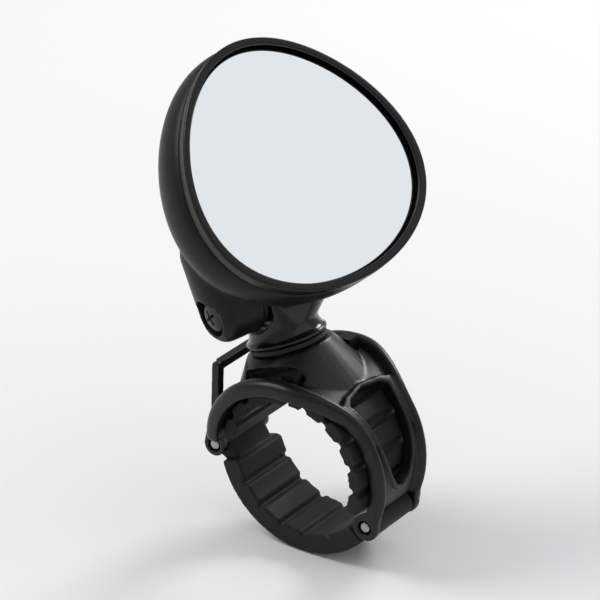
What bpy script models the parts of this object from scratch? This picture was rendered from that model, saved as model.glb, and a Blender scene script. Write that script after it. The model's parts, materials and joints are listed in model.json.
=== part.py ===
"""Small clip-on bike mirror: an egg-shaped mirror head on a turning neck, held to a round tube by a
padded saddle frame and a rubber strap with a swing clasp. Metres. The tube runs along Y, +Z is up."""

import math

import bmesh
import bpy
from mathutils import Matrix, Vector

MM = 0.001

# Pose of the neck and head on a level tube
NECK_LEAN = math.radians(-20)
NECK_TURN = math.radians(68.7)
HEAD_TILT = math.radians(67.2)
HEAD_ROLL = math.radians(2.8)

# Clamp frame that wraps the tube. Angles are measured from the neck, positive on the clasp side.
GAP = 0.3 * MM
FRAME_INNER = 14.2 * MM
FRAME_SKIN = 15.6 * MM
FRAME_RIM = 16.9 * MM
LONG_ARM_END = math.radians(-131)
SHORT_ARM_END = math.radians(66)
SADDLE_HALF_WIDTH = 12.2 * MM
SHORT_TIP_HALF_WIDTH = 10.0 * MM
ARM_HALF_WIDTH = 7.5 * MM
TIP_HALF_WIDTH = 6.6 * MM
TAPER = (math.radians(22), math.radians(76))
RIM_SHARE = 0.26
PEDESTAL_FOOT = (15.5 * MM, 9.0 * MM)
PEDESTAL_SQUASH = 0.2
PEDESTAL_TOP = 7.2 * MM
SADDLE_TOP = 18.8 * MM
WINDOW_START = math.radians(-50)
WINDOW_END = math.radians(-116)
WINDOW_SHARE = 0.60
WINDOW_LIP = (0.14, 0.7 * MM, math.radians(3))
SLOT_START = math.radians(-25)
SLOT_END = math.radians(15)
SLOT_TOP = 17.6 * MM
SLOT_Y = 8.0 * MM
SLOT_HALF = 1.4 * MM
CUT_INSIDE = 10.0 * MM
CUT_OUTSIDE = 24.0 * MM
NOSE_FOOT = (15.0 * MM, 3.8 * MM)
NOSE_CREST = (18.4 * MM, 3.2 * MM)
NOSE_SPAN = (math.radians(-2.5), math.radians(3))

# Grip pads under the frame and ribs inside the strap
PAD_OUTER = 13.9 * MM
PAD_INNER = 11.6 * MM
PAD_HALF_WIDTH = 9.0 * MM
PAD_GROOVE = 0.75 * MM
RIB_PITCH = math.radians(20)
RIB_LAND = 0.76
SADDLE_PAD = (math.radians(-16), math.radians(64))
LONG_PAD = (math.radians(-18), math.radians(-130))
PLUG_ANGLE = math.radians(-18.5)
PLUG_HALF_LENGTH = 1.3 * MM
PLUG_TOP = 17.5 * MM
STRAP_INNER = 13.0 * MM
STRAP_OUTER = 16.5 * MM
STRAP_HALF_WIDTH = 6.2 * MM
STRAP_RIB = 0.8 * MM
STRAP_START = math.radians(86)
STRAP_END = math.radians(208)

# Strap pins and the clasp
ANCHOR_ANGLE = math.radians(-141)
ANCHOR_RADIUS = 15.3 * MM
CLASP_ANGLE = math.radians(76)
CLASP_RADIUS = 17.4 * MM
CLASP_EYE_RADIUS = 2.0 * MM
CLASP_LEAN = math.radians(8)
NOSE_ANGLE = math.radians(62.5)
PIN_RADIUS = 0.9 * MM
PIN_BORE = 1.25 * MM
EYE_RADIUS = 2.2 * MM
LUG_THICKNESS = 1.5 * MM
LUG_RADIUS = 2.4 * MM
LOOP_BARS = (6.9 * MM, 15.0 * MM)
LOOP_WIRE = 1.5 * MM
DISC_POINTS = 24

# Neck and its swivel on the saddle
SWIVEL_DISC = 0.7 * MM
NECK_FOOT_RADIUS = 6.9 * MM
NECK_FOOT_EDGE = 0.6 * MM
NECK_WAIST_RADIUS = 5.9 * MM
NECK_WAIST_HEIGHT = 23.2 * MM
PIVOT_HEIGHT = 28.2 * MM
CHEEK_RADIUS = 4.8 * MM
CHEEK_LEFT = -3.7 * MM
CHEEK_RIGHT = 7.4 * MM
SCREW_RADIUS = 1.45 * MM
SCREW_BORE = 1.8 * MM
SCREW_HEAD = 2.8 * MM
SCREW_HEAD_EDGE = 0.6 * MM
SCREW_TIP = 0.5 * MM
RECESS_LONG = 1.5 * MM
RECESS_SHORT = 0.35 * MM
RECESS_DEPTH = 0.9 * MM
HEAD_ROOM = 0.5 * MM
SWIVEL_SCREW = (13.1 * MM, 14.9 * MM, 23.3 * MM)
SWIVEL_WASHER = (15.2 * MM, 15.8 * MM)
SWIVEL_BORE_END = 23.8 * MM
PIVOT_SCREW = (-12.6 * MM, -11.1 * MM, 7.0 * MM)
SPRING_WASHER = (-10.8 * MM, -10.5 * MM)
PIVOT_REACH = 20.0 * MM
NUT_RADIUS = 2.75 * MM
NUT_SPAN = (4.7 * MM, 6.9 * MM)
NUT_POCKET_RADIUS = 3.1 * MM
NUT_POCKET_FLOOR = 4.4 * MM

# Mirror head, in its own frame: +X along the pivot, +Y up the glass, +Z out of the glass
HEAD_SHIFT = (6.1 * MM, 15.5 * MM, 17.0 * MM)
EGG_HALF_WIDTH = 20.7 * MM
EGG_HALF_HEIGHT = 21.9 * MM
EGG_TAPER = 0.186
SHELL_TOP = -2.1 * MM
SHELL_BACK = -15.2 * MM
SHELL_WALL = 1.4 * MM
SHELL_BULGE = 0.05
SHELL_LEAN = (-2.6 * MM, 0.7 * MM)
SHELL_MOUTH = 1.0 * MM
BEZEL_LIP = 1.25 * MM
BEZEL_WALL = 0.75 * MM
BEZEL_FRONT = 0.35 * MM
BEZEL_EDGE = 0.3 * MM
BEZEL_BACK = -1.8 * MM
LIP_BACK = -0.3 * MM
GLASS_BACK = -1.6 * MM
GLASS_EDGE = 1.05 * MM
GLASS_CROWN = 0.3 * MM
FOAM_EDGE = 4.0 * MM
FOAM_SPAN = (-2.4 * MM, -1.8 * MM)
PLATE_EDGE = 2.0 * MM
PLATE_SPAN = (-3.8 * MM, -2.6 * MM)
BOSS_RADIUS = 4.9 * MM
BOSS_INNER = -5.0 * MM
BOSS_OUTER = -13.4 * MM
BOSS_SQUASH = 0.6
BOSS_WELL_FLOOR = -10.3 * MM
BOSS_ROOT_RADIUS = 5.0 * MM
BOSS_ROOT = (-9.8 * MM, 9.0 * MM, 5.5 * MM)

SEGMENTS = 48
BAND_STEP = math.radians(3)


def start_scene():
    for old in list(bpy.data.objects):
        bpy.data.objects.remove(old, do_unlink=True)
    parts = bpy.data.collections.new("bike_mirror")
    cutters = bpy.data.collections.new("cutters")
    bpy.context.scene.collection.children.link(parts)
    bpy.context.scene.collection.children.link(cutters)
    return parts, cutters


PARTS, CUTTERS = start_scene()


def finish_material(name, colour, roughness, metallic=0.0):
    material = bpy.data.materials.new(name)
    material.use_nodes = True
    shader = material.node_tree.nodes["Principled BSDF"]
    shader.inputs["Base Color"].default_value = (*colour, 1.0)
    shader.inputs["Roughness"].default_value = roughness
    shader.inputs["Metallic"].default_value = metallic
    return material


def empty(name, parent=None, matrix=Matrix.Identity(4)):
    frame = bpy.data.objects.new(name, None)
    PARTS.objects.link(frame)
    frame.parent = parent
    frame.matrix_local = matrix
    return frame


def add_object(name, mesh, parent, look=None, smooth=True):
    item = bpy.data.objects.new(name, mesh)
    item.parent = parent
    if look is None:
        CUTTERS.objects.link(item)
        item.hide_render = True
        item.display_type = "WIRE"
        return item
    PARTS.objects.link(item)
    mesh.materials.append(finish_material(name + "_finish", *look))
    for face in mesh.polygons:
        face.use_smooth = smooth
    return item


def to_mesh(name, bm):
    bmesh.ops.remove_doubles(bm, verts=bm.verts, dist=0.01 * MM)
    bmesh.ops.recalc_face_normals(bm, faces=bm.faces)
    mesh = bpy.data.meshes.new(name)
    bm.to_mesh(mesh)
    bm.free()
    return mesh


def combine(target, other, operation, solver="EXACT"):
    modifier = target.modifiers.new(operation.lower() + "_" + other.name, "BOOLEAN")
    modifier.operation = operation
    modifier.solver = solver
    modifier.object = other


def cut(target, *others):
    for other in others:
        combine(target, other, "DIFFERENCE")


def join(target, *others):
    for other in others:
        combine(target, other, "UNION")


def along_x(matrix_offset=(0, 0, 0)):
    return Matrix.Translation(matrix_offset) @ Matrix.Rotation(math.pi / 2, 4, "Y")


def along_y(matrix_offset=(0, 0, 0)):
    return Matrix.Translation(matrix_offset) @ Matrix.Rotation(-math.pi / 2, 4, "X")


def cylinder_mesh(name, radius, start, end, placed=Matrix.Identity(4), top_radius=None, segments=32):
    """Cylinder or cone along local Z from start to end, then moved by placed."""
    bm = bmesh.new()
    middle = Matrix.Translation((0, 0, (start + end) / 2))
    bmesh.ops.create_cone(bm, cap_ends=True, segments=segments, radius1=radius,
                          radius2=radius if top_radius is None else top_radius,
                          depth=end - start, matrix=placed @ middle)
    return to_mesh(name, bm)


def block_mesh(name, low, high, placed=Matrix.Identity(4)):
    size = [b - a for a, b in zip(low, high)]
    centre = [(a + b) / 2 for a, b in zip(low, high)]
    bm = bmesh.new()
    fitted = Matrix.Translation(centre) @ Matrix.Diagonal((*size, 1))
    bmesh.ops.create_cube(bm, size=1.0, matrix=placed @ fitted)
    return to_mesh(name, bm)


def revolve_mesh(name, outline, placed=Matrix.Identity(4), segments=SEGMENTS):
    """Solid of revolution about local Z from a closed outline of (radius, height) points."""
    bm = bmesh.new()
    verts = [bm.verts.new((radius, 0, height)) for radius, height in outline]
    edges = [bm.edges.new((a, b)) for a, b in zip(verts, verts[1:] + verts[:1])
             if a.co.x + b.co.x > 0]
    bmesh.ops.spin(bm, geom=verts + edges, cent=(0, 0, 0), axis=(0, 0, 1),
                   angle=2 * math.pi, steps=segments)
    bmesh.ops.transform(bm, matrix=placed, verts=bm.verts)
    return to_mesh(name, bm)


def washer_mesh(name, inner, outer, start, end, placed=Matrix.Identity(4)):
    outline = [(inner, start), (outer, start), (outer, end), (inner, end)]
    return revolve_mesh(name, outline, placed, segments=32)


def disc_points(radius, height, placed=Matrix.Identity(4), count=SEGMENTS):
    turns = [2 * math.pi * index / count for index in range(count)]
    return [placed @ Vector((radius * math.cos(turn), radius * math.sin(turn), height)) for turn in turns]


def ball_points(radius, centre, squash=1.0):
    """Points of a ball squashed along X, ring by ring from pole to pole."""
    reach = squash * radius
    points = [Vector((centre[0] + side * reach, centre[1], centre[2])) for side in (-1, 1)]
    for ring in range(1, 12):
        latitude = math.pi * ring / 12
        placed = along_x((centre[0] + reach * math.cos(latitude), centre[1], centre[2]))
        points += disc_points(radius * math.sin(latitude), 0, placed, 24)
    return points


def hull_mesh(name, points):
    """Smallest convex solid round a set of points."""
    bm = bmesh.new()
    for point in points:
        bm.verts.new(point)
    result = bmesh.ops.convex_hull(bm, input=bm.verts, use_existing_faces=False)
    spare = result["geom_unused"] + result["geom_interior"]
    corners = {item for item in spare if isinstance(item, bmesh.types.BMVert)}
    bmesh.ops.delete(bm, geom=list(corners), context="VERTS")
    return to_mesh(name, bm)


def angle_of(co):
    """Angle of a point about the tube, measured from the neck towards the clasp."""
    return math.atan2(-co.x, co.z)


def band_mesh(name, outline, start, end, reshape=None, step=BAND_STEP):
    """Closed band about the tube: an outline of (radius, y) points swept from start to end angle."""
    bm = bmesh.new()
    first = Matrix.Rotation(-start, 4, "Y")
    verts = [bm.verts.new(first @ Matrix.Translation((0, y, radius)).to_translation())
             for radius, y in outline]
    face = bm.faces.new(verts)
    steps = max(2, round(abs(end - start) / step))
    geom = [face, *face.edges, *face.verts]
    bmesh.ops.spin(bm, geom=geom, cent=(0, 0, 0), axis=(0, -1, 0), angle=end - start, steps=steps)
    if reshape:
        for vert in bm.verts:
            reshape(vert)
    return to_mesh(name, bm)


def polar(angle, radius, y=0.0):
    return (-radius * math.sin(angle), y, radius * math.cos(angle))


def half_width(angle):
    """Half width of the clamp frame: wide at the neck, little less on the short arm, narrow on the long."""
    if angle > 0:
        share = angle / SHORT_ARM_END
        return SADDLE_HALF_WIDTH + (SHORT_TIP_HALF_WIDTH - SADDLE_HALF_WIDTH) * share ** 2
    start, end = TAPER
    if -angle < end:
        share = max(0.0, (-angle - start) / (end - start))
        return SADDLE_HALF_WIDTH + (ARM_HALF_WIDTH - SADDLE_HALF_WIDTH) * share ** 2 * (3 - 2 * share)
    share = (-angle - end) / (-LONG_ARM_END - end)
    return ARM_HALF_WIDTH + (TIP_HALF_WIDTH - ARM_HALF_WIDTH) * min(share, 1.0)


BLACK_SATIN = ((0.022, 0.022, 0.024), 0.42)
BLACK_GLOSS = ((0.015, 0.015, 0.017), 0.08)
BLACK_RUBBER = ((0.018, 0.018, 0.019), 0.62)
NYLON = ((0.05, 0.05, 0.05), 0.50)
STEEL = ((0.50, 0.50, 0.51), 0.30, 1.0)
BLACK_STEEL = ((0.06, 0.06, 0.065), 0.35, 1.0)
FOAM = ((0.07, 0.07, 0.07), 0.90)
MIRROR = ((0.86, 0.89, 0.92), 0.03, 1.0)

clamp_frame = empty("clamp_axes", matrix=Matrix.Rotation(NECK_LEAN, 4, "Y"))
neck_frame = empty("neck_axes", clamp_frame, Matrix.Rotation(NECK_TURN, 4, "Z"))
pivot_frame = empty("pivot_axes", neck_frame, Matrix.Translation((0, 0, PIVOT_HEIGHT))
                    @ Matrix.Rotation(HEAD_TILT, 4, "X"))
head_frame = empty("head_axes", pivot_frame, Matrix.Translation(HEAD_SHIFT)
                   @ Matrix.Rotation(HEAD_ROLL, 4, "Z"))


# ---------------------------------------------------------------- clamp frame

def frame_outline():
    """Cross-section of the frame for a half width of one, with a round raised rim on each edge."""
    crown = 1.0 - RIM_SHARE / 2
    side = [(FRAME_INNER, 1.0), (FRAME_SKIN, 1.0)]
    rim = []
    for turn in range(0, 181, 30):
        across = crown + math.cos(math.radians(turn)) * RIM_SHARE / 2
        height = FRAME_SKIN + math.sin(math.radians(turn)) * (FRAME_RIM - FRAME_SKIN)
        rim.append((height, across))
    right = side[:1] + rim
    left = [(radius, -y) for radius, y in reversed(right)]
    return right + left


def fit_frame_width(vert):
    vert.co.y *= half_width(angle_of(vert.co))


def window_fit(start, end, width):
    """Teardrop outline, wide by the neck and closing to a rounded tip towards the arm end."""
    def fit(vert):
        share = (angle_of(vert.co) - start) / (end - start)
        start_round = min(1.0, math.sqrt(max(0.0, share) / 0.08))
        tip_round = math.sqrt(max(0.0, 1.0 - share ** 3))
        vert.co.y *= width * half_width(angle_of(vert.co)) * max(0.05, min(start_round, tip_round))

    return fit


def pedestal_solid():
    """Cone under the neck's foot, broader along the tube, hollowed to clear the pads."""
    foot, start = PEDESTAL_FOOT
    cone = cylinder_mesh("pedestal", foot, start, SADDLE_TOP, top_radius=PEDESTAL_TOP, segments=SEGMENTS)
    for vert in cone.vertices:
        vert.co.x *= 1 - PEDESTAL_SQUASH * (SADDLE_TOP - vert.co.z) / (SADDLE_TOP - start)
    pedestal = add_object("pedestal", cone, clamp_frame)
    tube = cylinder_mesh("pedestal_hollow", FRAME_INNER + GAP, -FRAME_INNER, FRAME_INNER, along_y(),
                         segments=96)
    cut(pedestal, add_object("pedestal_hollow", tube, clamp_frame))
    reach = SADDLE_HALF_WIDTH - SLOT_HALF
    inside = block_mesh("pedestal_limit", (-foot, -reach, 0), (foot, reach, CUT_OUTSIDE))
    combine(pedestal, add_object("pedestal_limit", inside, clamp_frame), "INTERSECT")
    return pedestal


def build_frame():
    frame = add_object("base_frame", band_mesh("base_frame", frame_outline(), LONG_ARM_END,
                                               SHORT_ARM_END, fit_frame_width), clamp_frame, BLACK_SATIN)
    join(frame, pedestal_solid())
    for side in (-1, 1):
        y_low, y_high = sorted((side * (TIP_HALF_WIDTH - LUG_THICKNESS), side * TIP_HALF_WIDTH))
        lug = lug_solid("anchor_lug", ANCHOR_ANGLE, ANCHOR_RADIUS, LONG_ARM_END, y_low, y_high)
        join(frame, lug)
    profile = [(NOSE_FOOT[0], -NOSE_FOOT[1]), NOSE_FOOT, NOSE_CREST, (NOSE_CREST[0], -NOSE_CREST[1])]
    nose = band_mesh("nose", profile, NOSE_ANGLE + NOSE_SPAN[0], NOSE_ANGLE + NOSE_SPAN[1])
    join(frame, add_object("nose", nose, clamp_frame))
    wider, rise, margin = WINDOW_LIP
    low, high = FRAME_SKIN - rise, FRAME_SKIN + rise
    start, end = WINDOW_START + margin, WINDOW_END - margin
    lip = band_mesh("window_lip", [(low, -1.0), (low, 1.0), (high, 1.0), (high, -1.0)], start, end,
                    window_fit(start, end, WINDOW_SHARE + wider))
    join(frame, add_object("window_lip", lip, clamp_frame))
    tall = [(CUT_INSIDE, -1.0), (CUT_INSIDE, 1.0), (CUT_OUTSIDE, 1.0), (CUT_OUTSIDE, -1.0)]
    outline = window_fit(WINDOW_START, WINDOW_END, WINDOW_SHARE)
    window = band_mesh("window", tall, WINDOW_START, WINDOW_END, outline)
    cut(frame, add_object("window", window, clamp_frame))
    for side in (-1, 1):
        near, far = side * SLOT_Y - SLOT_HALF, side * SLOT_Y + SLOT_HALF
        edge = [(CUT_INSIDE, near), (CUT_INSIDE, far), (SLOT_TOP, far), (SLOT_TOP, near)]
        cut(frame, add_object("slot", band_mesh("slot", edge, SLOT_START, SLOT_END), clamp_frame))
    bore = add_object("swivel_bore", cylinder_mesh("swivel_bore", SCREW_BORE, CUT_INSIDE, CUT_OUTSIDE),
                      clamp_frame)
    well = add_object("swivel_well", cylinder_mesh("swivel_well", SCREW_HEAD + HEAD_ROOM, CUT_INSIDE,
                      SWIVEL_WASHER[1] + GAP), clamp_frame)
    pin_hole = add_object("anchor_hole", cylinder_mesh("anchor_hole", PIN_BORE, -CUT_INSIDE, CUT_INSIDE,
                          along_y(polar(ANCHOR_ANGLE, ANCHOR_RADIUS))), clamp_frame)
    cut(frame, bore, well, pin_hole)


def lug_solid(name, pin_angle, pin_radius, root_angle, y_low, y_high):
    """Rounded cheek from a band's end to a pin: the hull of a disc at the pin and a root at the band."""
    points = disc_points(LUG_RADIUS, y_low, along_y(polar(pin_angle, pin_radius)), DISC_POINTS)
    points += disc_points(LUG_RADIUS, y_high, along_y(polar(pin_angle, pin_radius)), DISC_POINTS)
    inward = math.copysign(math.radians(3), pin_angle)
    for radius in (FRAME_INNER + GAP, FRAME_RIM - GAP):
        for y in (y_low, y_high):
            points.append(polar(root_angle - inward, radius, y))
    return add_object(name, hull_mesh(name, points), clamp_frame)


# ---------------------------------------------------------------- pads and strap

def on_land(angle, start, pitch=RIB_PITCH, land=RIB_LAND):
    return ((angle - start) / pitch) % 1.0 < land


def pad(name, start, end):
    """Rubber grip pad: a chain of blocks joined by thinner webs."""
    low, high = sorted((start, end))

    def groove(vert):
        radius = math.hypot(vert.co.x, vert.co.z)
        if on_land(angle_of(vert.co) - BAND_STEP / 8, low):
            return
        shift = PAD_GROOVE if radius < (PAD_INNER + PAD_OUTER) / 2 else -PAD_GROOVE
        vert.co.x *= (radius + shift) / radius
        vert.co.z *= (radius + shift) / radius

    outline = [(PAD_INNER, -PAD_HALF_WIDTH), (PAD_INNER, PAD_HALF_WIDTH),
               (PAD_OUTER, PAD_HALF_WIDTH), (PAD_OUTER, -PAD_HALF_WIDTH)]
    return add_object(name, band_mesh(name, outline, low, high, groove, step=math.radians(2)),
                      clamp_frame, BLACK_RUBBER, smooth=False)


def build_pads():
    saddle_pad = pad("grip_pad_saddle", *SADDLE_PAD)
    hole = add_object("pad_hole", cylinder_mesh("pad_hole", SCREW_HEAD + 2 * HEAD_ROOM, 0, FRAME_SKIN),
                      clamp_frame)
    cut(saddle_pad, hole)
    pad("grip_pad_long", *LONG_PAD)
    lean = Matrix.Rotation(-PLUG_ANGLE, 4, "Y")
    for name, side in (("pad_plug_front", -1), ("pad_plug_rear", 1)):
        low = (-PLUG_HALF_LENGTH, -SLOT_HALF + GAP, PAD_OUTER + GAP)
        high = (PLUG_HALF_LENGTH, SLOT_HALF - GAP, PLUG_TOP)
        mesh = block_mesh(name, low, high, Matrix.Translation((0, side * SLOT_Y, 0)) @ lean)
        add_object(name, mesh, clamp_frame, BLACK_SATIN, smooth=False)


def build_strap():
    def rib(vert):
        radius = math.hypot(vert.co.x, vert.co.z)
        angle = angle_of(vert.co) % (2 * math.pi)
        if radius > (STRAP_INNER + STRAP_OUTER) / 2 or on_land(angle, STRAP_START, RIB_PITCH, RIB_LAND):
            return
        vert.co.x *= (radius + STRAP_RIB) / radius
        vert.co.z *= (radius + STRAP_RIB) / radius

    outline = [(STRAP_INNER, -STRAP_HALF_WIDTH), (STRAP_INNER, STRAP_HALF_WIDTH),
               (STRAP_OUTER, STRAP_HALF_WIDTH), (STRAP_OUTER, -STRAP_HALF_WIDTH)]
    strap = add_object("strap", band_mesh("strap", outline, STRAP_START, STRAP_END, rib,
                                          step=math.radians(2)), clamp_frame, BLACK_RUBBER, smooth=False)
    eye_half = TIP_HALF_WIDTH - LUG_THICKNESS - GAP
    ends = (("anchor", ANCHOR_ANGLE, ANCHOR_RADIUS, STRAP_END - BAND_STEP),
            ("clasp", CLASP_ANGLE, CLASP_RADIUS, STRAP_START + BAND_STEP))
    for name, angle, radius, root in ends:
        centre = polar(angle, radius)
        points = []
        for y in (-eye_half, eye_half):
            points += disc_points(EYE_RADIUS, y, along_y(centre), DISC_POINTS)
            points += [polar(root, depth, y) for depth in (STRAP_INNER + STRAP_RIB, STRAP_OUTER - GAP)]
        join(strap, add_object(name + "_eye", hull_mesh(name + "_eye", points), clamp_frame))
        hole = cylinder_mesh(name + "_eye_hole", PIN_BORE, -CUT_INSIDE, CUT_INSIDE, along_y(centre))
        cut(strap, add_object(name + "_eye_hole", hole, clamp_frame))
        add_object(name + "_pin", cylinder_mesh(name + "_pin", PIN_RADIUS, -TIP_HALF_WIDTH, TIP_HALF_WIDTH,
                   along_y(centre)), clamp_frame, STEEL)


def build_clasp():
    """Swing clasp: two bars between two arms. The near bar catches the nose, the far one is pulled."""
    pin = Matrix.Translation(polar(CLASP_ANGLE, CLASP_RADIUS))
    clasp_frame = empty("clasp_axes", clamp_frame, pin @ Matrix.Rotation(CLASP_LEAN - CLASP_ANGLE, 4, "Y"))
    inner = TIP_HALF_WIDTH - LUG_THICKNESS
    half = LOOP_WIRE / 2
    near, far = LOOP_BARS
    catch, pull = [block_mesh("clasp_bar", (reach - half, -inner - GAP, -half),
                              (reach + half, inner + GAP, half)) for reach in LOOP_BARS]
    loop = add_object("clasp_loop", catch, clasp_frame, BLACK_SATIN, smooth=False)
    for side in (-1, 1):
        for start, start_radius, end in ((0, CLASP_EYE_RADIUS, near), (near, half, far)):
            points = []
            for y in (side * inner, side * TIP_HALF_WIDTH):
                points += disc_points(start_radius, y, along_y((start, 0, 0)), DISC_POINTS)
                points += disc_points(half, y, along_y((end, 0, 0)), DISC_POINTS)
            join(loop, add_object("clasp_arm", hull_mesh("clasp_arm", points), clasp_frame))
    join(loop, add_object("clasp_pull", pull, clasp_frame))
    hole = add_object("clasp_hole", cylinder_mesh("clasp_hole", PIN_BORE, -CUT_INSIDE, CUT_INSIDE, along_y()),
                      clasp_frame)
    cut(loop, hole)


# ---------------------------------------------------------------- neck

def build_neck():
    foot = SADDLE_TOP + GAP + SWIVEL_DISC + GAP
    edge = foot + NECK_FOOT_EDGE
    outline = [(0, foot), (NECK_FOOT_RADIUS, foot), (NECK_FOOT_RADIUS, edge)]
    for turn in range(15, 91, 15):
        angle = math.radians(turn)
        outline.append((NECK_FOOT_RADIUS - (NECK_FOOT_RADIUS - NECK_WAIST_RADIUS) * math.sin(angle),
                        edge + (NECK_WAIST_HEIGHT - edge) * (1 - math.cos(angle))))
    outline.append((0, NECK_WAIST_HEIGHT))
    neck = add_object("neck", revolve_mesh("neck", outline), neck_frame, BLACK_GLOSS)
    pivot = along_x((0, 0, PIVOT_HEIGHT))
    points = disc_points(CHEEK_RADIUS, CHEEK_LEFT, pivot) + disc_points(CHEEK_RADIUS, CHEEK_RIGHT, pivot)
    points += disc_points(NECK_WAIST_RADIUS, NECK_WAIST_HEIGHT - GAP)
    points += disc_points(NECK_WAIST_RADIUS, NECK_WAIST_HEIGHT - NECK_FOOT_EDGE)
    join(neck, add_object("cheek", hull_mesh("cheek", points), neck_frame))
    side = cylinder_mesh("boss_room", BOSS_RADIUS + HEAD_ROOM, -PIVOT_REACH, CHEEK_LEFT, pivot,
                         segments=SEGMENTS)
    bore = cylinder_mesh("neck_bore", SCREW_BORE, CUT_INSIDE, SWIVEL_BORE_END)
    cross = cylinder_mesh("pivot_bore", SCREW_BORE, -PIVOT_REACH, PIVOT_REACH, pivot)
    pocket = cylinder_mesh("nut_pocket", NUT_POCKET_RADIUS, NUT_POCKET_FLOOR, PIVOT_REACH, pivot, segments=6)
    for cutter in (side, bore, cross, pocket):
        cut(neck, add_object(cutter.name, cutter, neck_frame))
    add_object("swivel_disc", washer_mesh("swivel_disc", SCREW_BORE + GAP, NECK_FOOT_RADIUS - GAP,
               SADDLE_TOP + GAP, SADDLE_TOP + GAP + SWIVEL_DISC), neck_frame, NYLON)
    add_object("swivel_washer", washer_mesh("swivel_washer", SCREW_BORE, SCREW_HEAD, *SWIVEL_WASHER),
               neck_frame, STEEL)
    add_screw("swivel_screw", neck_frame, Matrix.Identity(4), *SWIVEL_SCREW)
    add_screw("pivot_screw", neck_frame, pivot, *PIVOT_SCREW)
    add_object("pivot_spring_washer", washer_mesh("pivot_spring_washer", SCREW_BORE, SCREW_HEAD,
               *SPRING_WASHER, pivot), neck_frame, STEEL)
    nut = add_object("pivot_nut", cylinder_mesh("pivot_nut", NUT_RADIUS, *NUT_SPAN, pivot, segments=6),
                     neck_frame, STEEL, smooth=False)
    thread = cylinder_mesh("nut_thread", SCREW_BORE, -PIVOT_REACH, PIVOT_REACH, pivot)
    cut(nut, add_object("nut_thread", thread, neck_frame))
    add_object("friction_washer", washer_mesh("friction_washer", SCREW_BORE, CHEEK_RADIUS - HEAD_ROOM,
               BOSS_INNER + GAP, CHEEK_LEFT - GAP, pivot), neck_frame, NYLON)


def add_screw(name, parent, placed, head_start, head_end, tip):
    """Pan-head screw along the placed Z axis, with a cross recess in its head."""
    outline = [(0, head_start), (SCREW_HEAD - SCREW_HEAD_EDGE, head_start),
               (SCREW_HEAD, head_start + SCREW_HEAD_EDGE), (SCREW_HEAD, head_end), (SCREW_RADIUS, head_end),
               (SCREW_RADIUS, tip - SCREW_TIP), (SCREW_RADIUS - SCREW_TIP, tip), (0, tip)]
    screw = add_object(name, revolve_mesh(name, outline, placed, segments=32), parent, BLACK_STEEL)
    for half_x, half_y in ((RECESS_LONG, RECESS_SHORT), (RECESS_SHORT, RECESS_LONG)):
        low = (-half_x, -half_y, head_start - RECESS_DEPTH)
        high = (half_x, half_y, head_start + RECESS_DEPTH)
        recess = block_mesh(name + "_recess", low, high, placed)
        cut(screw, add_object(name + "_recess", recess, parent))


# ---------------------------------------------------------------- mirror head

def egg_mesh(name, outline, lean=(0, 0)):
    """Revolve an outline of (share of the egg, height) points, stretch it to the egg shape and lean it."""
    bm = bmesh.new()
    bm.from_mesh(revolve_mesh(name + "_round", outline))
    for vert in bm.verts:
        across, up = vert.co.x, vert.co.y
        depth = max(0.0, (SHELL_TOP - vert.co.z) / (SHELL_TOP - SHELL_BACK)) ** 0.6
        vert.co.x = EGG_HALF_WIDTH * across * (1 - EGG_TAPER * up) + lean[0] * depth
        vert.co.y = EGG_HALF_HEIGHT * up + lean[1] * depth
    return to_mesh(name, bm)


def dome(inset, back, count=9):
    """Rounded profile of the shell from its mouth to the middle of its back, as (share, height)."""
    points = []
    for index in range(count):
        angle = math.pi / 2 * index / count
        bulge = 1.0 + SHELL_BULGE * math.sin(2 * angle)
        share = bulge * math.cos(angle) ** 0.62 - inset / EGG_HALF_WIDTH
        points.append((max(share, 0.02), SHELL_TOP + (back - SHELL_TOP) * math.sin(angle) ** 0.85))
    return points + [(0, back)]


def shrink(distance):
    """Share of the egg's size that lies a given distance inside its outline."""
    return 1.0 - distance / EGG_HALF_WIDTH


def egg_plate(edge, low, high, crown=0.0):
    """Profile of an egg-shaped plate whose front may rise by a crown in the middle."""
    points = [(0, low), (shrink(edge), low)]
    for index in range(4):
        share = 1.0 - index / 4
        points.append((shrink(edge) * share, high + crown * (1 - share ** 2)))
    return points + [(0, high + crown)]


def build_shell():
    outer = [(0, SHELL_TOP)] + dome(0.0, SHELL_BACK)
    shell = add_object("head_shell", egg_mesh("head_shell", outer, SHELL_LEAN), head_frame, BLACK_SATIN)
    pivot = along_x()
    points = ball_points(BOSS_RADIUS, (BOSS_OUTER + BOSS_RADIUS * BOSS_SQUASH, 0, 0), BOSS_SQUASH)
    points += disc_points(BOSS_RADIUS, BOSS_INNER + SHELL_MOUTH, pivot)
    points += ball_points(BOSS_ROOT_RADIUS, BOSS_ROOT)
    boss = add_object("boss", hull_mesh("boss", points), pivot_frame)
    well = cylinder_mesh("boss_well", SCREW_HEAD + HEAD_ROOM, -PIVOT_REACH, BOSS_WELL_FLOOR, pivot)
    cut(boss, add_object("boss_well", well, pivot_frame))
    combine(shell, boss, "UNION", solver="MANIFOLD")
    mouth = SHELL_TOP + SHELL_MOUTH
    inner = [(0, mouth), (shrink(SHELL_WALL), mouth)] + dome(SHELL_WALL, SHELL_BACK + SHELL_WALL)
    hollow = add_object("hollow", egg_mesh("hollow", inner, SHELL_LEAN), head_frame)
    bore = cylinder_mesh("boss_bore", SCREW_BORE, -PIVOT_REACH, PIVOT_REACH, pivot)
    room = cylinder_mesh("cheek_room", CHEEK_RADIUS + HEAD_ROOM, BOSS_INNER, CHEEK_RIGHT + SHELL_MOUTH,
                         pivot, segments=SEGMENTS)
    combine(shell, hollow, "DIFFERENCE", solver="MANIFOLD")
    for cutter in (bore, room):
        combine(shell, add_object(cutter.name, cutter, pivot_frame), "DIFFERENCE", solver="MANIFOLD")


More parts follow.
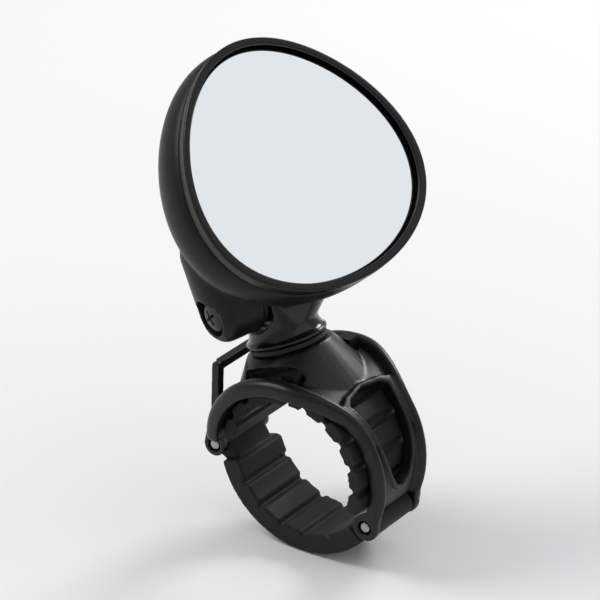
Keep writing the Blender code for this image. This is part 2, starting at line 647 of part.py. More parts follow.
def build_glass():
    crest = BEZEL_FRONT - BEZEL_EDGE
    bezel = [(1.0, BEZEL_BACK), (1.0, crest), (shrink(BEZEL_EDGE), BEZEL_FRONT),
             (shrink(BEZEL_LIP - BEZEL_EDGE), BEZEL_FRONT), (shrink(BEZEL_LIP), crest),
             (shrink(BEZEL_LIP), LIP_BACK), (shrink(BEZEL_WALL), LIP_BACK), (shrink(BEZEL_WALL), BEZEL_BACK)]
    add_object("bezel_ring", egg_mesh("bezel_ring", bezel), head_frame, BLACK_SATIN)
    glass = egg_plate(GLASS_EDGE, GLASS_BACK, LIP_BACK - GAP - GLASS_CROWN, GLASS_CROWN)
    add_object("mirror_glass", egg_mesh("mirror_glass", glass), head_frame, MIRROR)
    add_object("adhesive_pad", egg_mesh("adhesive_pad", egg_plate(FOAM_EDGE, *FOAM_SPAN)), head_frame, FOAM)
    add_object("backing_plate", egg_mesh("backing_plate", egg_plate(PLATE_EDGE, *PLATE_SPAN)), head_frame,
               BLACK_SATIN)


build_frame()
build_pads()
build_strap()
build_clasp()
build_neck()
build_shell()
build_glass()
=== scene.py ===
import json
import math

import bmesh
import bpy
import numpy as np
from mathutils import Matrix, Vector


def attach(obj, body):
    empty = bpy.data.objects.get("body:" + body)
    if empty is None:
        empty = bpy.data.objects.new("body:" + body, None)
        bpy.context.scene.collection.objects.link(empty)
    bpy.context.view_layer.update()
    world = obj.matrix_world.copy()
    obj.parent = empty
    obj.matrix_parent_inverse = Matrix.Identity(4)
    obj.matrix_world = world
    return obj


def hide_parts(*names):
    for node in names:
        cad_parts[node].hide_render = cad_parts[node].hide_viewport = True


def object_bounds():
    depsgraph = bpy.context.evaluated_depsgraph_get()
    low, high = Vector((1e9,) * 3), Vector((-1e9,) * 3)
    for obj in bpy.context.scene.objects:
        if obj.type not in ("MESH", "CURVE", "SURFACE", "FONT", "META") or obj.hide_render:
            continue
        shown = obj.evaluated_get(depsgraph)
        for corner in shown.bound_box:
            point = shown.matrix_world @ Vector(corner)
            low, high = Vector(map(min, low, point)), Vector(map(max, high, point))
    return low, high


# Looks of the clip-on bike mirror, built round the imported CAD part. Metres, +Z up, tube along Y.
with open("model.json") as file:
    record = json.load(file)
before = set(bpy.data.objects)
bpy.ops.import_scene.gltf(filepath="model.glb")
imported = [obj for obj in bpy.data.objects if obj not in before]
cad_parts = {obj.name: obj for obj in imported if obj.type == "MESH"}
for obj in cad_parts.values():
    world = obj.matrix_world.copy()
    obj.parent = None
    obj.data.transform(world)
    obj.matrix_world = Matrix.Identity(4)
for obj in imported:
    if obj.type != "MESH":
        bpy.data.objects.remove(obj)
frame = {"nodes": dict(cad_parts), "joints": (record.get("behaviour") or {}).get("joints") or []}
CAD_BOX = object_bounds()

MM = 0.001
VIEW_AZIMUTH = 35
VIEW_ELEVATION = 26
LENS = 200
FRAME_FILL = 0.84

# Proportions of the moulded head that the finer pieces repeat
STEPS_PER_RADIAN = 100
HEAD_ROLL = math.radians(2.8)
EGG_TAPER = 0.186
BEZEL_FRONT = 0.35 * MM
BEZEL_BACK = -1.8 * MM
SHELL_TOP = -2.1 * MM
SHELL_BACK = -15.2 * MM
SHELL_WALL = 1.4 * MM
SHELL_BULGE = 0.05
SHELL_LEAN = (-2.6 * MM, 0.7 * MM)
SHELL_LEAN_POWER = 0.6
SHELL_OVERLAP = 1.0 * MM
SHELL_SEGMENTS = 160
DOME_STEPS = 36
DOME_SIDE_POWER = 0.62
DOME_BACK_POWER = 0.85
DOME_SMALLEST_SHARE = 0.02
GLASS_INSET = 1.05 * MM
GLASS_CROWN = 0.3 * MM
GLASS_STEPS = 14
LIP_INSET = 1.25 * MM
LIP_WALL_INSET = 0.75 * MM
LIP_LEDGE = -0.3 * MM
LIP_OVERLAP = 0.1 * MM
LIP_ROUNDING = (0.12 * MM, 0.55 * MM, 0.35 * MM, 0.08 * MM, 0, 0)
BOSS_RADIUS = 4.9 * MM
BOSS_INNER = -5.0 * MM
BOSS_OUTER = -13.4 * MM
BOSS_SQUASH = 0.6
BOSS_WELL_FLOOR = -10.3 * MM
BOSS_WELL_RADIUS = 3.3 * MM
BOSS_ROOT_RADIUS = 5.0 * MM
BOSS_ROOT = (-9.8 * MM, 9.0 * MM, 5.5 * MM)
BOSS_BORE_RADIUS = 1.8 * MM
BOSS_BORE_END = 8 * MM
CUT_REACH = 20 * MM
CHEEK_RADIUS = 4.8 * MM
CHEEK_RIGHT = 7.4 * MM
CHEEK_SIDE_ROOM = 0.5 * MM
CHEEK_END_ROOM = 1.0 * MM

# Screws, pins and the small bevels
SCREW_HEAD_RADIUS = 2.8 * MM
SCREW_HEAD_HEIGHT = 1.5 * MM
SCREW_DOME = 0.7
SCREW_DOME_POWER = 1.2
SCREW_SHANK_RADIUS = 1.45 * MM
SCREW_TIP = 0.5 * MM
RECESS_LENGTH = 1.6 * MM
RECESS_WIDTH = 0.3 * MM
RECESS_DEPTH = 1.0 * MM
RECESS_TAPER = (1.2, 0.6)
PIN_RADIUS = 0.9 * MM
PIN_DOME = 0.35 * MM
SCREW_BEVEL = 0.06 * MM
PLUG_BEVEL = 0.3 * MM
INNER_BEVEL = 0.12 * MM
BEVEL_ANGLE = math.radians(35)
BEVEL_SEGMENTS = 3

# Fine surface
MERGE_DISTANCE = 0.002 * MM
SMOOTH_FACTOR = 0.5
NOISE_ROUGHNESS = 0.55

# Studio, in metres
FLOOR_HALF_SIZE = 3.0
FLOOR_DROP = 0.2 * MM
WORLD_COLOUR = (0.97, 0.985, 1.0, 1)
WORLD_STRENGTH = 0.46
CLIP_START = 0.01


# ---------------------------------------------------------------- the frame, read from the CAD

def joint(name):
    return next(item for item in frame["joints"] if item["name"] == name)


def unit(values):
    return Vector(values).normalized()


def axes(x, y, z, origin):
    matrix = Matrix((x, y, z)).transposed().to_4x4()
    matrix.translation = origin
    return matrix


def node_points(node):
    return np.array([vert.co[:] for vert in frame["nodes"][node].data.vertices])


NECK_AXIS = unit(joint("neck_swivel")["axis"])
PIVOT_AXIS = unit(joint("head_tilt")["axis"])
PIVOT = Vector(joint("head_tilt")["pos_m"])
NECK = axes(PIVOT_AXIS, NECK_AXIS.cross(PIVOT_AXIS), NECK_AXIS, Vector())


def head_axes():
    """Frame of the egg-shaped head: +X across, +Y to the narrow end, +Z out of the glass."""
    points = node_points("bezel_ring")
    centre = points.mean(axis=0)
    values, vectors = np.linalg.eigh(np.cov((points - centre).T))
    out = Vector(vectors[:, 0])
    behind = Vector(node_points("head_shell").mean(axis=0) - centre)
    if out.dot(behind) > 0:
        out.negate()
    across = Matrix.Rotation(HEAD_ROLL, 3, out) @ (PIVOT_AXIS - out * PIVOT_AXIS.dot(out)).normalized()
    up = out.cross(across)
    reach = [(points - centre) @ np.array(side) for side in (across, up, out)]
    middle = [(side.max() + side.min()) / 2 for side in reach]
    origin = Vector(centre) + across * middle[0] + up * middle[1] + out * (reach[2].max() - BEZEL_FRONT)
    half = [(side.max() - side.min()) / 2 for side in reach]
    return axes(across, up, out, origin), half[0], half[1]


HEAD, EGG_REACH, EGG_HALF_HEIGHT = head_axes()
TURNS = [step / STEPS_PER_RADIAN for step in range(-3 * STEPS_PER_RADIAN // 2, 3 * STEPS_PER_RADIAN // 2)]
WIDEST = max(math.cos(turn) * (1 - EGG_TAPER * math.sin(turn)) for turn in TURNS)
EGG_HALF_WIDTH = EGG_REACH / WIDEST
GLASS_NORMAL = Vector(HEAD.col[2][:3])
TILT = axes(PIVOT_AXIS, GLASS_NORMAL.cross(PIVOT_AXIS), GLASS_NORMAL, PIVOT)
SCREW_AXES = axes(-GLASS_NORMAL, GLASS_NORMAL.cross(PIVOT_AXIS), PIVOT_AXIS, PIVOT)


# ---------------------------------------------------------------- materials

class Nodes:
    """Small helper for building one procedural material."""

    def __init__(self, name):
        self.material = bpy.data.materials.new(name)
        self.material.use_nodes = True
        self.tree = self.material.node_tree
        self.shader = self.tree.nodes["Principled BSDF"]
        self.place = self.add("ShaderNodeTexCoord").outputs["Object"]

    def add(self, kind, **settings):
        node = self.tree.nodes.new(kind)
        for key, value in settings.items():
            setattr(node, key, value)
        return node

    def link(self, source, target):
        self.tree.links.new(source, target)

    def drive(self, socket, source):
        self.link(source, self.shader.inputs[socket])

    def set(self, **values):
        for key, value in values.items():
            self.shader.inputs[key.replace("_", " ")].default_value = value

    def noise(self, size, detail=3.0, distortion=0.0, stretch=(1, 1, 1)):
        """Noise whose features are about size metres across."""
        mapping = self.add("ShaderNodeMapping")
        mapping.inputs["Scale"].default_value = stretch
        self.link(self.place, mapping.inputs["Vector"])
        node = self.add("ShaderNodeTexNoise")
        node.inputs["Scale"].default_value = 1.0 / size
        node.inputs["Detail"].default_value = detail
        node.inputs["Roughness"].default_value = NOISE_ROUGHNESS
        node.inputs["Distortion"].default_value = distortion
        self.link(mapping.outputs["Vector"], node.inputs["Vector"])
        return node.outputs["Fac"]

    def spread(self, value, low, high, to_low, to_high):
        node = self.add("ShaderNodeMapRange")
        for key, number in (("From Min", low), ("From Max", high), ("To Min", to_low), ("To Max", to_high)):
            node.inputs[key].default_value = number
        self.link(value, node.inputs["Value"])
        return node.outputs["Result"]

    def blend(self, factor, first, second):
        node = self.add("ShaderNodeMix", data_type="RGBA")
        self.link(factor, node.inputs["Factor"])
        for key, colour in (("A", first), ("B", second)):
            socket = [item for item in node.inputs if item.name == key and item.type == "RGBA"][0]
            if isinstance(colour, bpy.types.NodeSocket):
                self.link(colour, socket)
            else:
                socket.default_value = (*colour, 1.0)
        return [item for item in node.outputs if item.type == "RGBA"][0]

    def bump(self, height, strength, distance, normal=None):
        node = self.add("ShaderNodeBump")
        node.inputs["Strength"].default_value = strength
        node.inputs["Distance"].default_value = distance
        self.link(height, node.inputs["Height"])
        if normal is not None:
            self.link(normal, node.inputs["Normal"])
        return node.outputs["Normal"]

    def multiply(self, first, second):
        node = self.add("ShaderNodeMath", operation="MULTIPLY")
        self.link(first, node.inputs[0])
        self.link(second, node.inputs[1])
        return node.outputs[0]

    def whole(self, noise):
        """Widens a noise value to run from 0 to 1."""
        return self.spread(noise, 0.3, 0.7, 0.0, 1.0)

    def pointiness(self):
        return self.add("ShaderNodeNewGeometry").outputs["Pointiness"]

    def edges(self):
        """1 on convex edges, 0 elsewhere."""
        return self.spread(self.pointiness(), 0.52, 0.60, 0.0, 1.0)

    def hollows(self):
        """1 in hollow corners, 0 elsewhere."""
        return self.spread(self.pointiness(), 0.42, 0.50, 1.0, 0.0)


def moulded_plastic(name, colour, roughness, grain, edge_highlight=None, specular=0.3):
    """Moulded plastic: fine spark-eroded grain, slow gloss variation and a painted highlight, convex edges
    painted lighter in patches.
    """
    nodes = Nodes(name)
    cloud = nodes.whole(nodes.noise(9 * MM, detail=4))
    base = nodes.blend(cloud, colour, [c * 1.3 for c in colour])
    # Convex edges painted lighter in noisy patches: a painted highlight standing in for light on the edges.
    if edge_highlight:
        patches = nodes.spread(nodes.noise(1.6 * MM, detail=5), 0.42, 0.62, 0.0, 1.0)
        base = nodes.blend(nodes.multiply(nodes.edges(), patches), base, edge_highlight)
    nodes.drive("Base Color", base)
    nodes.drive("Roughness", nodes.spread(cloud, 0.0, 1.0, roughness * 0.88, roughness * 1.12))
    fine = nodes.bump(nodes.noise(0.22 * MM, detail=2), grain, 0.03 * MM)
    slow = nodes.bump(nodes.noise(4 * MM, detail=1), grain * 0.4, 0.08 * MM, fine)
    nodes.drive("Normal", slow)
    nodes.set(Specular_IOR_Level=specular)
    return nodes.material


def polished_plastic(name, colour):
    """Polished plastic with faint hairline scuffs in its gloss."""
    nodes = Nodes(name)
    scuff = nodes.noise(0.5 * MM, detail=6, distortion=0.6, stretch=(1, 1, 0.12))
    nodes.drive("Roughness", nodes.spread(scuff, 0.45, 0.75, 0.16, 0.30))
    cloud = nodes.whole(nodes.noise(6 * MM))
    nodes.drive("Base Color", nodes.blend(cloud, colour, [c * 1.3 for c in colour]))
    nodes.drive("Normal", nodes.bump(nodes.noise(3 * MM, detail=1), 0.08, 0.05 * MM))
    nodes.set(Specular_IOR_Level=0.3, Coat_Weight=0.2, Coat_Roughness=0.10)
    return nodes.material


def moulded_rubber(name, colour, dust):
    """Rubber: matte, fine pebbled skin, with pale dust held in its hollows."""
    nodes = Nodes(name)
    patches = nodes.spread(nodes.noise(2.2 * MM, detail=6), 0.45, 0.7, 0.0, 0.5)
    dusty = nodes.multiply(nodes.hollows(), patches)
    cloud = nodes.whole(nodes.noise(7 * MM, detail=4))
    base = nodes.blend(cloud, colour, [c * 1.35 for c in colour])
    nodes.drive("Base Color", nodes.blend(dusty, base, dust))
    nodes.drive("Roughness", nodes.spread(cloud, 0.0, 1.0, 0.55, 0.70))
    skin = nodes.bump(nodes.noise(0.30 * MM, detail=3), 0.35, 0.05 * MM)
    nodes.drive("Normal", nodes.bump(nodes.noise(2.5 * MM, detail=2), 0.15, 0.10 * MM, skin))
    nodes.set(Specular_IOR_Level=0.25, Sheen_Weight=0.05, Sheen_Roughness=0.5)
    return nodes.material


def metal(name, colour, roughness):
    """Turned or rolled metal with fine tool lines."""
    nodes = Nodes(name)
    lines = nodes.noise(0.4 * MM, detail=5, stretch=(1, 1, 8))
    worked = nodes.whole(lines)
    nodes.drive("Base Color", nodes.blend(worked, [c * 0.8 for c in colour], colour))
    nodes.drive("Roughness", nodes.spread(lines, 0.3, 0.7, roughness * 0.75, roughness * 1.3))
    nodes.drive("Normal", nodes.bump(lines, 0.2, 0.02 * MM))
    nodes.set(Metallic=1.0)
    return nodes.material


def silvered_glass(name):
    """Silvered mirror, very slightly blue, with the faintest haze."""
    nodes = Nodes(name)
    haze = nodes.noise(5 * MM, detail=5)
    nodes.drive("Roughness", nodes.spread(haze, 0.35, 0.75, 0.015, 0.05))
    tint = nodes.blend(nodes.whole(haze), (0.82, 0.86, 0.90), (0.84, 0.88, 0.91))
    nodes.drive("Base Color", tint)
    nodes.set(Metallic=1.0)
    return nodes.material


def foam(name):
    """Closed-cell mounting foam."""
    nodes = Nodes(name)
    cells = nodes.add("ShaderNodeTexVoronoi")
    cells.inputs["Scale"].default_value = 1 / (0.25 * MM)
    nodes.link(nodes.place, cells.inputs["Vector"])
    nodes.drive("Base Color", nodes.blend(cells.outputs["Distance"], (0.03, 0.03, 0.03), (0.10, 0.10, 0.10)))
    nodes.drive("Normal", nodes.bump(cells.outputs["Distance"], 0.6, 0.08 * MM))
    nodes.set(Roughness=0.92)
    return nodes.material


# The lighter edge colour given to the satin and band plastics is a painted edge highlight.
SATIN = moulded_plastic("satin_black_plastic", (0.0055, 0.0055, 0.006), 0.40, 0.25,
                        edge_highlight=(0.028, 0.028, 0.030), specular=0.22)
LIP = moulded_plastic("lip_black_plastic", (0.005, 0.005, 0.0055), 0.34, 0.12)
GLOSS = polished_plastic("gloss_black_plastic", (0.005, 0.005, 0.0055))
BAND = moulded_plastic("band_black_plastic", (0.005, 0.005, 0.0055), 0.34, 0.20, edge_highlight=(0.016, 0.016, 0.017),
                       specular=0.32)
RUBBER = moulded_rubber("black_rubber", (0.007, 0.007, 0.0072), (0.035, 0.034, 0.032))
PLAIN = moulded_plastic("plain_black_plastic", (0.006, 0.006, 0.0065), 0.42, 0.20)
NYLON = moulded_plastic("black_nylon", (0.010, 0.010, 0.010), 0.50, 0.20)
STEEL = metal("steel", (0.42, 0.42, 0.43), 0.32)
DARK_STEEL = metal("black_steel", (0.05, 0.05, 0.053), 0.34)
MIRROR = silvered_glass("mirror_silver")
FOAM = foam("foam_tape")


# ---------------------------------------------------------------- mesh tools

def new_piece(name, mesh, material, body, node):
    """Adds a mesh as a shown piece that rides on a body and stands for a CAD node."""
    item = bpy.data.objects.new(name, mesh)
    bpy.context.scene.collection.objects.link(item)
    mesh.materials.clear()
    mesh.materials.append(material)
    for face in mesh.polygons:
        face.use_smooth = True
    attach(item, body)
    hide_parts(node)
    return item


def finish_mesh(name, bm):
    bmesh.ops.remove_doubles(bm, verts=bm.verts, dist=MERGE_DISTANCE)
    bmesh.ops.recalc_face_normals(bm, faces=bm.faces)
    mesh = bpy.data.meshes.new(name)
    bm.to_mesh(mesh)
    bm.free()
    return mesh


def evaluated_copy(item):
    bpy.context.view_layer.update()
    graph = bpy.context.evaluated_depsgraph_get()
    return bpy.data.meshes.new_from_object(item.evaluated_get(graph), depsgraph=graph)


def melt(name, source, voxel, smooth_steps):
    """Closed skin over a copy of a mesh, with its edges softened."""
    bm = bmesh.new()
    bm.from_mesh(source)
    copied = bpy.data.meshes.new(name)
    bm.to_mesh(copied)
    bm.free()
    item = bpy.data.objects.new(name + "_raw", copied)
    bpy.context.scene.collection.objects.link(item)
    remesh = item.modifiers.new("remesh", "REMESH")
    remesh.mode = "VOXEL"
    remesh.voxel_size = voxel
    remesh.adaptivity = 0
    smooth = item.modifiers.new("smooth", "SMOOTH")
    smooth.factor = SMOOTH_FACTOR
    smooth.iterations = smooth_steps
    mesh = evaluated_copy(item)
    bpy.data.objects.remove(item, do_unlink=True)
    mesh.name = name
    return mesh


def carve(name, mesh, joined=(), removed=()):
    """Unites closed meshes with a mesh, then cuts others out of it."""
    item = bpy.data.objects.new(name, mesh)
    others = []
    bpy.context.scene.collection.objects.link(item)
    for operation, meshes in (("UNION", joined), ("DIFFERENCE", removed)):
        for other_mesh in meshes:
            other = bpy.data.objects.new(other_mesh.name, other_mesh)
            bpy.context.scene.collection.objects.link(other)
            others.append(other)
            modifier = item.modifiers.new(other.name, "BOOLEAN")
            modifier.operation = operation
            modifier.solver = "MANIFOLD"
            modifier.object = other
    made = evaluated_copy(item)
    for other in [item] + others:
        bpy.data.objects.remove(other, do_unlink=True)
    return made


def disc_points(radius, height, placed, count=96):
    """Points of a circle at a height on the placed Z axis."""
    turns = [2 * math.pi * index / count for index in range(count)]
    return [placed @ Vector((radius * math.cos(turn), radius * math.sin(turn), height)) for turn in turns]


def ball_points(radius, centre, squash=1.0, rings=24):
    """Points of a ball squashed along X."""
    reach = squash * radius
    points = [Vector((centre[0] + side * reach, centre[1], centre[2])) for side in (-1, 1)]
    for ring in range(1, rings):
        latitude = math.pi * ring / rings
        placed = along_x((centre[0] + reach * math.cos(latitude), centre[1], centre[2]))
        points += disc_points(radius * math.sin(latitude), 0, placed, 2 * rings)
    return points


def hull(name, points, placed=Matrix.Identity(4)):
    """Smallest convex solid round a set of points."""
    bm = bmesh.new()
    for point in points:
        bm.verts.new(placed @ Vector(point))
    result = bmesh.ops.convex_hull(bm, input=bm.verts, use_existing_faces=False)
    spare = result["geom_unused"] + result["geom_interior"]
    corners = {item for item in spare if isinstance(item, bmesh.types.BMVert)}
    bmesh.ops.delete(bm, geom=list(corners), context="VERTS")
    return finish_mesh(name, bm)


def along_x(offset=(0, 0, 0)):
    return Matrix.Translation(offset) @ Matrix.Rotation(math.pi / 2, 4, "Y")


def along_y(offset=(0, 0, 0)):
    return Matrix.Translation(offset) @ Matrix.Rotation(-math.pi / 2, 4, "X")


def rod(name, radius, start, end, placed):
    """Plain closed cylinder along the placed Z axis."""
    return revolved(name, [(0, start), (radius, start), (radius, end), (0, end)], placed)


def cad_mesh(node):
    return frame["nodes"][node].data


def revolved(name, outline, placed=Matrix.Identity(4), segments=128):
    """Solid of revolution about the placed Z axis from a closed outline of (radius, height) points."""
    bm = bmesh.new()
    verts = [bm.verts.new((radius, 0, height)) for radius, height in outline]
    edges = [bm.edges.new((a, b)) for a, b in zip(verts, verts[1:] + verts[:1]) if a.co.x + b.co.x > 0]
    bmesh.ops.spin(bm, geom=verts + edges, cent=(0, 0, 0), axis=(0, 0, 1), angle=2 * math.pi, steps=segments)
    bmesh.ops.transform(bm, matrix=placed, verts=bm.verts)
    return finish_mesh(name, bm)


def rounded(outline, reaches, steps):
    """Rounds each corner of a closed outline over its reach; a reach of 0 keeps the corner sharp."""
    points = []
    count = len(outline)
    for index, (here, reach) in enumerate(zip(outline, reaches)):
        if reach == 0:
            points.append(tuple(here))
            continue
        corner = Vector(here)
        before = (Vector(outline[index - 1]) - corner).normalized() * reach
        after = (Vector(outline[(index + 1) % count]) - corner).normalized() * reach
        for step in range(steps + 1):
            passed = step / steps
            point = corner + before * (1 - passed) ** 2 + after * passed ** 2
            points.append(tuple(point))
    return points


def egg(name, outline, segments=192, lean=(0, 0)):
    """Revolves (share of the egg, height) points and stretches them to the head's egg shape."""
    bm = bmesh.new()
    bm.from_mesh(revolved(name + "_round", outline, segments=segments))
    for vert in bm.verts:
        across, up = vert.co.x, vert.co.y
        depth = max(0.0, (SHELL_TOP - vert.co.z) / (SHELL_TOP - SHELL_BACK)) ** SHELL_LEAN_POWER
        vert.co.x = EGG_HALF_WIDTH * across * (1 - EGG_TAPER * up) + lean[0] * depth
        vert.co.y = EGG_HALF_HEIGHT * up + lean[1] * depth
    bmesh.ops.transform(bm, matrix=HEAD, verts=bm.verts)
    return finish_mesh(name, bm)


def share(distance):
    """Share of the egg left inside a distance in from its edge."""
    return 1.0 - distance / EGG_HALF_WIDTH


def depth_in_head(node):
    """Lowest and highest height of a node along the glass normal, from the lip's front."""
    z = (node_points(node) - np.array(HEAD.translation)) @ np.array(HEAD.col[2][:3])
    return z.min(), z.max()


# ---------------------------------------------------------------- mirror head

def build_glass():
    low, high = depth_in_head("mirror_glass")
    edge = share(GLASS_INSET)
    shoulder = high - GLASS_CROWN
    outline = [(0, low), (edge - 0.01, low), (edge, low + 0.2 * MM), (edge, shoulder - 0.12 * MM)]
    outline.append((edge - 0.006, shoulder))
    for step in range(1, GLASS_STEPS):
        inward = 1 - step / GLASS_STEPS
        outline.append((edge * inward, shoulder + GLASS_CROWN * (1 - inward ** 2)))
    mesh = egg("mirror_glass_face", outline + [(0, high)])
    new_piece("mirror_glass_face", mesh, MIRROR, "head", "mirror_glass")


def build_lip():
    inner, wall = share(LIP_INSET), share(LIP_WALL_INSET)
    back = BEZEL_BACK - LIP_OVERLAP
    corners = [(1.0, back), (1.0, BEZEL_FRONT), (inner, BEZEL_FRONT), (inner, LIP_LEDGE),
               (wall, LIP_LEDGE), (wall, back)]
    flat = [(x * EGG_HALF_WIDTH, y) for x, y in corners]
    outline = [(x / EGG_HALF_WIDTH, y) for x, y in rounded(flat, LIP_ROUNDING, 7)]
    new_piece("glass_lip", egg("glass_lip", outline), LIP, "head", "bezel_ring")


def dome(inset, back):
    """Rounded profile of the shell from its mouth to the middle of its back, as (share, height)."""
    points = []
    for index in range(DOME_STEPS):
        angle = math.pi / 2 * index / DOME_STEPS
        bulge = 1.0 + SHELL_BULGE * math.sin(2 * angle)
        reach = bulge * math.cos(angle) ** DOME_SIDE_POWER - inset / EGG_HALF_WIDTH
        height = SHELL_TOP + (back - SHELL_TOP) * math.sin(angle) ** DOME_BACK_POWER
        points.append((max(reach, DOME_SMALLEST_SHARE), height))
    return points + [(0, back)]


def build_shell():
    outer = egg("shell_outer", [(0, SHELL_TOP)] + dome(0.0, SHELL_BACK), SHELL_SEGMENTS, SHELL_LEAN)
    mouth = SHELL_TOP + SHELL_OVERLAP
    inner = [(0, mouth), (share(SHELL_WALL), mouth)] + dome(SHELL_WALL, SHELL_BACK + SHELL_WALL)
    points = ball_points(BOSS_RADIUS, (BOSS_OUTER + BOSS_RADIUS * BOSS_SQUASH, 0, 0), BOSS_SQUASH)
    points += disc_points(BOSS_RADIUS, BOSS_INNER, along_x())
    points += ball_points(BOSS_ROOT_RADIUS, BOSS_ROOT)
    boss = hull("boss", points, TILT)
    across = TILT @ along_x()
    well = rod("boss_well", BOSS_WELL_RADIUS, -CUT_REACH, BOSS_WELL_FLOOR, across)
    bore = rod("boss_bore", BOSS_BORE_RADIUS, -CUT_REACH, BOSS_BORE_END, across)
    room = rod("cheek_room", CHEEK_RADIUS + CHEEK_SIDE_ROOM, BOSS_INNER, CHEEK_RIGHT + CHEEK_END_ROOM, across)
    boss = carve("boss_cut", boss, removed=[well])
    hollow = egg("hollow", inner, SHELL_SEGMENTS, SHELL_LEAN)
    mesh = carve("shell_cut", outer, [boss], [hollow, bore, room])
    mesh = melt("shell_body", mesh, 0.28 * MM, 7)
    new_piece("shell_body", mesh, SATIN, "head", "head_shell")


# ---------------------------------------------------------------- neck

def build_neck():
    mesh = melt("neck_post", cad_mesh("neck"), 0.16 * MM, 14)
    new_piece("neck_post", mesh, GLOSS, "neck", "neck")


def build_screw(name, node, placed):
    """Pan-head screw with a domed head and a cross recess, head towards the low end of the placed Z axis."""
    along = (node_points(node) - np.array(placed.translation)) @ np.array(placed.col[2][:3])
    start, end = along.min(), along.max()
    outline = [(0, start)]
    for degrees in range(10, 81, 10):
        turn = math.radians(degrees)
        drop = SCREW_HEAD_HEIGHT * SCREW_DOME * (1 - math.cos(turn)) ** SCREW_DOME_POWER
        outline.append((SCREW_HEAD_RADIUS * math.sin(turn), start + drop))
    under = start + SCREW_HEAD_HEIGHT
    outline += [(SCREW_HEAD_RADIUS, under), (SCREW_SHANK_RADIUS, under)]
    outline += [(SCREW_SHANK_RADIUS, end - SCREW_TIP), (SCREW_SHANK_RADIUS - SCREW_TIP, end), (0, end)]
    mesh = revolved(name, outline, placed, 96)
    blades = []
    for long, short in ((RECESS_LENGTH, RECESS_WIDTH), (RECESS_WIDTH, RECESS_LENGTH)):
        corners = [(x * long * taper, y * short * taper, start + z) for x in (-1, 1) for y in (-1, 1)
                   for z, taper in zip((-RECESS_DEPTH, RECESS_DEPTH), RECESS_TAPER)]
        blades.append(hull(name + "_blade", corners, placed))
    mesh = carve(name, mesh, removed=blades)
    soften(new_piece(name, mesh, DARK_STEEL, "neck", node), SCREW_BEVEL)


def soften(item, width):
    """Small bevel on the sharp edges, with even shading."""
    bevel = item.modifiers.new("edge_break", "BEVEL")
    bevel.width = width
    bevel.segments = BEVEL_SEGMENTS
    bevel.limit_method = "ANGLE"
    bevel.angle_limit = BEVEL_ANGLE
    bevel.harden_normals = False
    for face in item.data.polygons:
        face.use_smooth = True
    weighted = item.modifiers.new("even_shading", "WEIGHTED_NORMAL")
    weighted.keep_sharp = False


# ---------------------------------------------------------------- clamp

def build_clamp():
    """Moulded pieces over their CAD shapes, each with its voxel size in millimetres and smoothing steps."""
    pieces = (("clamp_body", "base_frame", 0.22, 9, BAND, "base", "satin_black_plastic"),
              ("grip_pad_saddle_rubber", "grip_pad_saddle", 0.18, 5, RUBBER, "base", "black_rubber"),
              ("grip_pad_long_rubber", "grip_pad_long", 0.18, 5, RUBBER, "base", "black_rubber"),
              ("strap_rubber", "strap", 0.22, 6, RUBBER, "base", "black_rubber"),
              ("clasp_ring", "clasp_loop", 0.09, 16, BAND, "clasp", "satin_black_plastic"))
    for name, node, voxel, steps, material, body, slot in pieces:
        new_piece(name, melt(name, cad_mesh(node), voxel * MM, steps), material, body, node)


def build_pins():
    """Steel pins with domed ends, along Y."""
    for node in ("anchor_pin", "clasp_pin"):
        points = node_points(node)
        middle = (points.max(axis=0) + points.min(axis=0)) / 2
        reach = (points[:, 1].max() - points[:, 1].min()) / 2
        end = []
        for degrees in range(0, 91, 10):
            turn = math.radians(degrees)
            end.append((PIN_RADIUS * math.cos(turn), reach - PIN_DOME * (1 - math.sin(turn))))
        outline = [(x, -y) for x, y in reversed(end)] + end
        mesh = revolved(node + "_steel", outline, along_y(middle), 64)
        new_piece(node + "_steel", mesh, STEEL, "base", node)


def finish_cad_nodes():
    """CAD nodes whose shape is kept get their final material and a small edge break."""
    kept = {"adhesive_pad": FOAM, "backing_plate": PLAIN, "swivel_disc": NYLON, "friction_washer": NYLON,
            "swivel_washer": STEEL, "pivot_spring_washer": STEEL, "pivot_nut": STEEL,
            "pad_plug_front": PLAIN, "pad_plug_rear": PLAIN}
    for node, material in kept.items():
        item = frame["nodes"][node]
        for slot in item.material_slots:
            slot.material = material
        soften(item, PLUG_BEVEL if node.startswith("pad_plug") else INNER_BEVEL)


# ---------------------------------------------------------------- stage

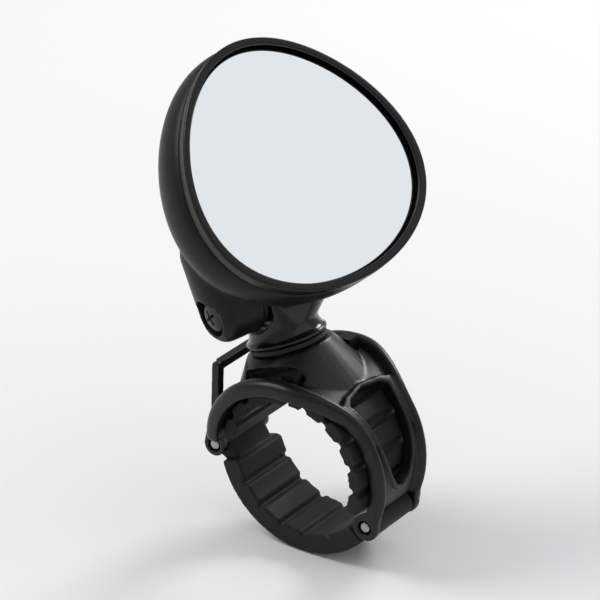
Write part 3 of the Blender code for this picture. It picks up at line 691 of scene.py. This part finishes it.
def build_stage():
    lowest = CAD_BOX[0].z
    floor_mesh = bpy.data.meshes.new("floor")
    bm = bmesh.new()
    bmesh.ops.create_grid(bm, x_segments=1, y_segments=1, size=FLOOR_HALF_SIZE)
    bm.to_mesh(floor_mesh)
    bm.free()
    floor = bpy.data.objects.new("floor", floor_mesh)
    bpy.context.scene.collection.objects.link(floor)
    floor.location = (0, 0, lowest - FLOOR_DROP)
    nodes = Nodes("pale_floor")
    tone = nodes.whole(nodes.noise(0.4))
    nodes.drive("Base Color", nodes.blend(tone, (0.84, 0.84, 0.84), (0.87, 0.87, 0.87)))
    nodes.set(Roughness=0.8, Specular_IOR_Level=0.2)
    floor_mesh.materials.append(nodes.material)

    world = bpy.data.worlds.new("studio")
    bpy.context.scene.world = world
    world.use_nodes = True
    background = world.node_tree.nodes["Background"]
    background.inputs["Color"].default_value = WORLD_COLOUR
    background.inputs["Strength"].default_value = WORLD_STRENGTH


def area_light(name, place, target, size, power):
    light = bpy.data.lights.new(name, "AREA")
    light.shape = "DISK"
    light.size = size
    light.energy = power
    item = bpy.data.objects.new(name, light)
    bpy.context.scene.collection.objects.link(item)
    item.location = place
    item.rotation_euler = (Vector(target) - Vector(place)).to_track_quat("-Z", "Y").to_euler()


def build_camera():
    low, high = CAD_BOX
    centre = (low + high) / 2
    turn, rise = math.radians(VIEW_AZIMUTH), math.radians(VIEW_ELEVATION)
    back = Vector((math.sin(turn) * math.cos(rise), -math.cos(turn) * math.cos(rise), math.sin(rise)))
    camera = bpy.data.cameras.new("camera")
    camera.lens = LENS
    camera.clip_start = CLIP_START
    item = bpy.data.objects.new("camera", camera)
    bpy.context.scene.collection.objects.link(item)
    half = math.atan(camera.sensor_width / 2 / LENS)
    tall = high.z - low.z
    item.location = centre + back * (tall / 2 / FRAME_FILL / math.tan(half))
    item.rotation_euler = (-back).to_track_quat("-Z", "Y").to_euler()
    bpy.context.scene.camera = item


bpy.context.scene.view_settings.view_transform = "Standard"
build_glass()
build_lip()
build_shell()
build_neck()
build_screw("pivot_screw_head", "pivot_screw", SCREW_AXES)
build_screw("swivel_screw_head", "swivel_screw", NECK)
build_clamp()
build_pins()
finish_cad_nodes()
build_stage()
area_light("overhead", place=(0.70, 0.15, 0.75), target=(0, 0, 0.05), size=1.3, power=1.9)
area_light("key", place=(-0.50, -0.25, 0.60), target=(0, 0, 0.03), size=0.40, power=2.8)
area_light("rim", place=(0.05, 0.60, 0.35), target=(0, 0, 0.03), size=0.25, power=2.0)
build_camera()
